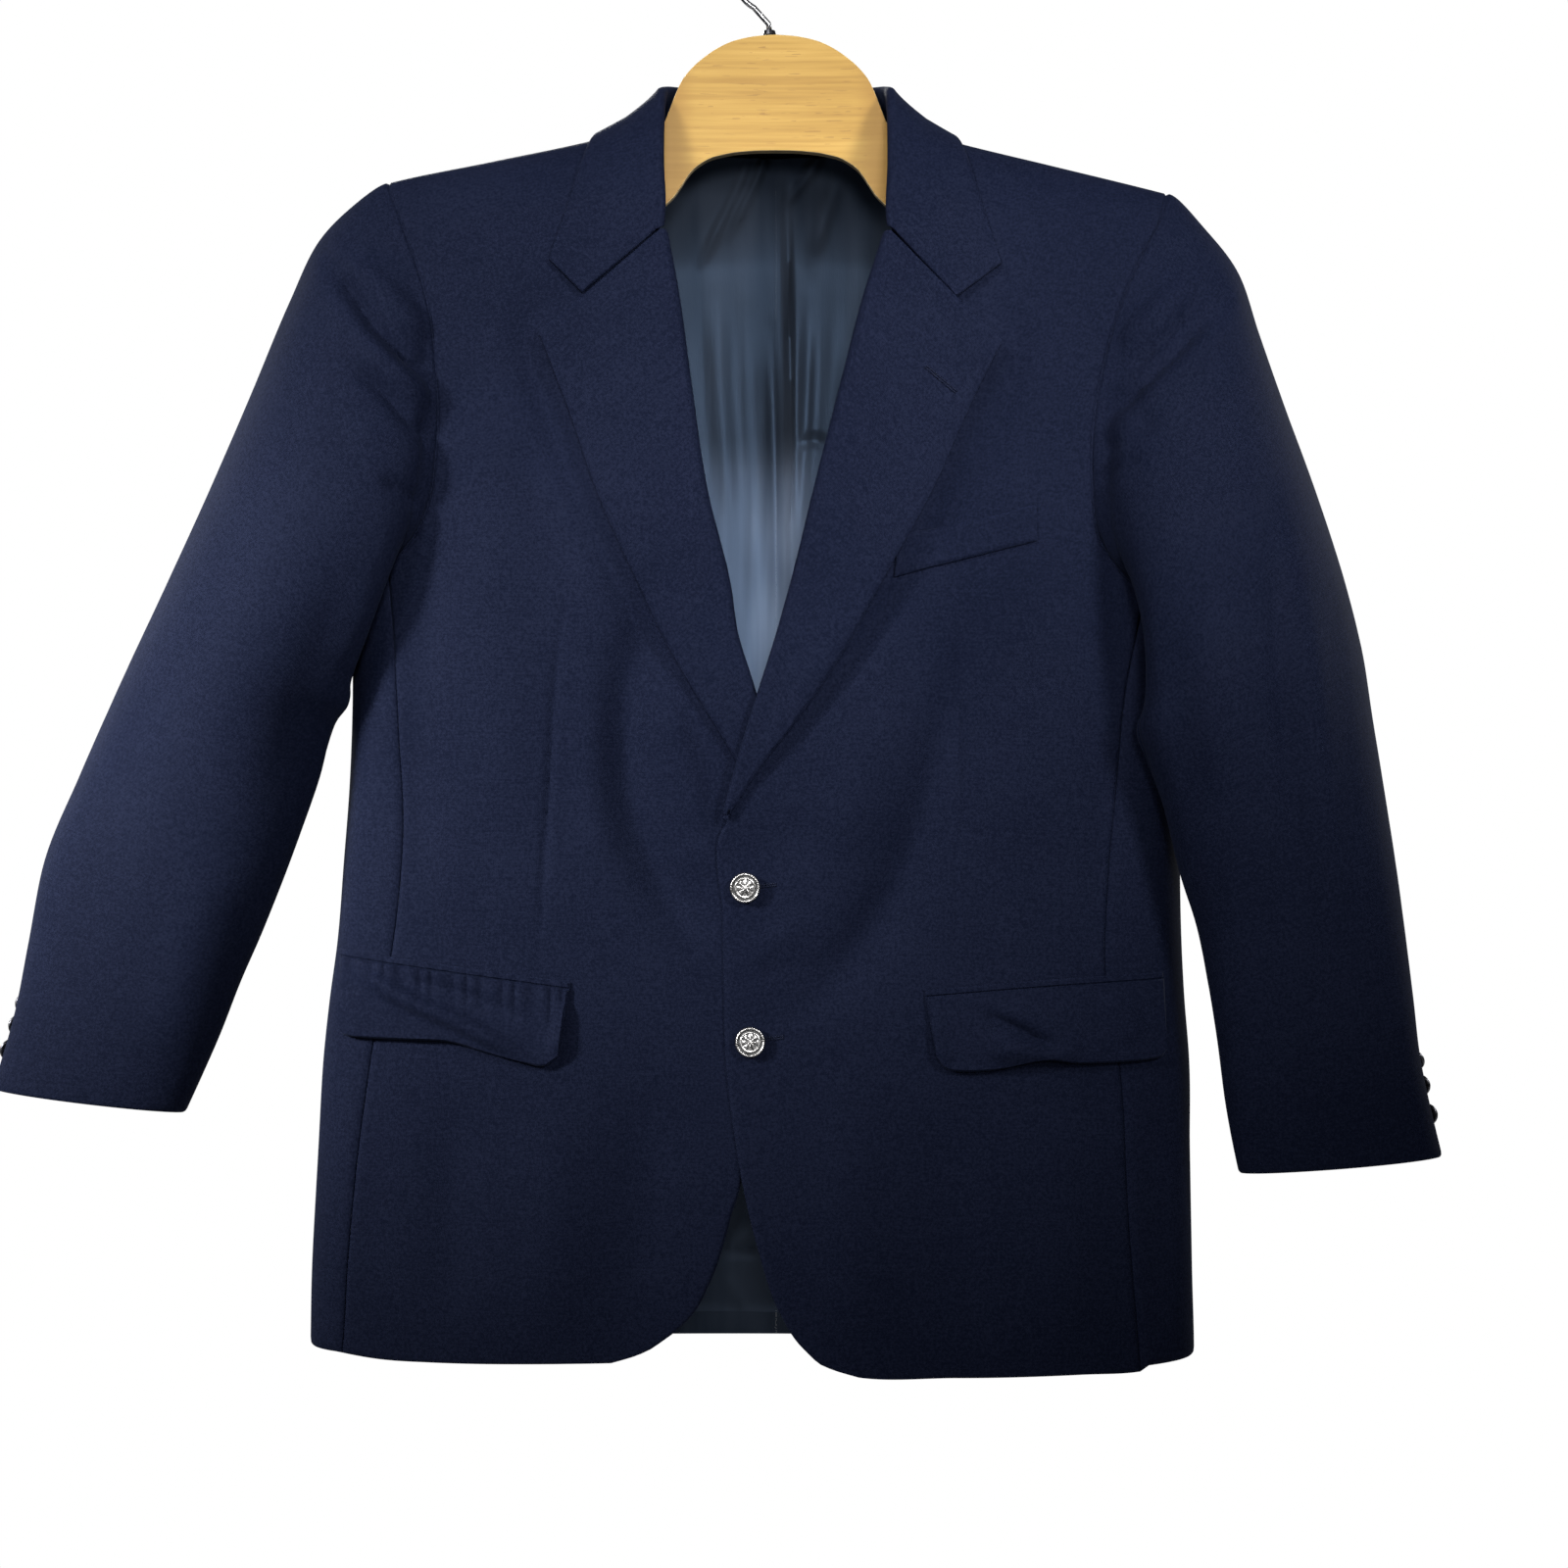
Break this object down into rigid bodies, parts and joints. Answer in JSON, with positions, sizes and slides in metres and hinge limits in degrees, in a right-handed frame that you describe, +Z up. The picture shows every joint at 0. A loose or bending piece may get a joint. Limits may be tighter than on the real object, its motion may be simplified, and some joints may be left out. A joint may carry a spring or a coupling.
{
  "type": "blazer on a hanger",
  "caption": "Single-breasted notch-lapel blazer with flap pockets and a breast welt, hanging buttoned on a broad bent-wood hanger with a wire hook.",
  "frame": {"origin": "the inside top of the hook, where a rail carries it", "axes": "+X to the viewer's right (the wearer's left), +Y from the front to the back, +Z up"},
  "size_m": [0.9233, 0.1799, 0.9302],
  "materials": {
    "wool": "dark navy plain-weave worsted wool, matt with a slight nap",
    "collar_wool": "the same navy wool, pressed",
    "pocket_wool": "the same navy wool, a little puckered along the pockets",
    "lining": "blue-grey satin lining, glossy",
    "button": "pewter-coloured metal with darker recesses",
    "hanger_wood": "honey-coloured lacquered plywood with light layers at its edge",
    "hook_wire": "bright steel wire",
    "ferrule": "dark metal"
  },
  "bodies": {
    "root": {"back_left": "wool", "back_right": "wool", "breast_welt": "pocket_wool", "collar": "collar_wool", "cuff_button_left_1": "button", "cuff_button_left_2": "button", "cuff_button_left_3": "button", "cuff_button_right_1": "button", "cuff_button_right_2": "button", "cuff_button_right_3": "button", "front_button_lower": "button", "front_button_upper": "button", "front_left": "wool", "front_right": "wool", "hanger": "hanger_wood", "hanger_hook": "hook_wire", "hook_ferrule": "ferrule", "lapel_left": "collar_wool", "lapel_right": "collar_wool", "lining_left": "lining", "lining_right": "lining", "pocket_flap_left": "pocket_wool", "pocket_flap_right": "pocket_wool", "pocket_jet_left": "pocket_wool", "pocket_jet_right": "pocket_wool", "side_left": "wool", "side_right": "wool", "topsleeve_left": "wool", "topsleeve_right": "wool", "undersleeve_left": "wool", "undersleeve_right": "wool"}
  },
  "joints": []
}
